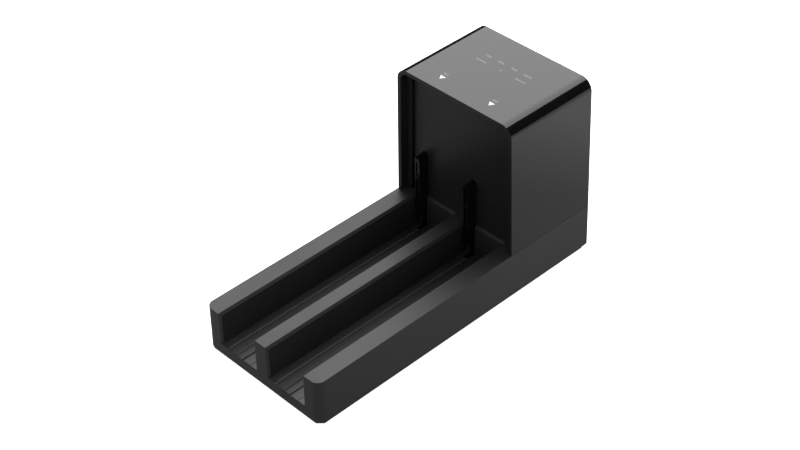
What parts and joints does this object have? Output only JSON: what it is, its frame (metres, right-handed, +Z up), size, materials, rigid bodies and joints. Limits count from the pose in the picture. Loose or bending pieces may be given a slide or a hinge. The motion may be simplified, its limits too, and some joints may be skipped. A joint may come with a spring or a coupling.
{
  "type": "drive duplicator",
  "caption": "Long tray with open bays that take bare drives on edge, a hooded tower at the rear with a receptacle for each bay, rear ports, a power rocker and a copy button.",
  "frame": {"origin": "under the middle of the object, on the surface that the feet stand on", "axes": "+Z up; the tray's length is along Y with its open end at -Y and the rear ports at +Y; X is the width, with both receptacles against the -X wall of their bay"},
  "size_m": [0.0944, 0.2174, 0.1186],
  "materials": {
    "matte_body": "fine moulded texture",
    "satin_hood": "satin",
    "panel_black": "satin",
    "receptacle_black": "smooth",
    "contact_metal": "gold plated",
    "board_green": "solder mask",
    "screw_steel": "zinc plated",
    "port_steel": "nickel plated",
    "insert_blue": "smooth",
    "ivory_plastic": "smooth",
    "chip_black": "matte",
    "can_aluminium": "brushed",
    "switch_black": "smooth",
    "button_white": "smooth",
    "light_clear": "clear",
    "cable_grey": "flat",
    "foot_rubber": "matte"
  },
  "bodies": {
    "dock": {"base_tray": "matte_body", "bottom_cover": "matte_body", "hood": "satin_hood", "front_panel": "panel_black", "rear_panel": "panel_black", "left_receptacle": "receptacle_black", "right_receptacle": "receptacle_black", "left_contacts": "contact_metal", "right_contacts": "contact_metal", "left_support": "receptacle_black", "right_support": "receptacle_black", "receptacle_board": "board_green", "receptacle_board_screws": "screw_steel", "main_board": "board_green", "main_board_screws": "screw_steel", "link_header": "receptacle_black", "link_socket": "ivory_plastic", "bridge_chips": "chip_black", "memory_chip": "chip_black", "capacitors": "can_aluminium", "inductors": "chip_black", "crystal": "port_steel", "usb_shell": "port_steel", "usb_insert": "insert_blue", "usb_contacts": "contact_metal", "jack_body": "switch_black", "jack_pin": "port_steel", "switch_housing": "switch_black", "switch_terminals": "contact_metal", "key_switch": "switch_black", "light_board": "board_green", "light_board_screws": "screw_steel", "lights": "ivory_plastic", "light_guides": "light_clear", "ribbon_cable": "cable_grey", "ribbon_sockets": "ivory_plastic", "rubber_feet": "foot_rubber", "cover_screws": "screw_steel", "hood_screws": "screw_steel"},
    "power_rocker": {"switch_rocker": "switch_black"},
    "copy_button": {"button_cap": "button_white", "key_plunger": "ivory_plastic"}
  },
  "joints": [
    {"name": "rocker_tilt", "type": "hinge", "parent": "dock", "child": "power_rocker", "pos_m": [-0.02926, 0.1048, 0.0188], "axis": [1, 0, 0], "range_deg": [0, 14]},
    {"name": "button_press", "type": "slide", "parent": "dock", "child": "copy_button", "axis": [0, -1, 0], "range_m": [0, 0.0012], "stiffness_N_per_m": 600, "springref_m": -0.001}
  ]
}
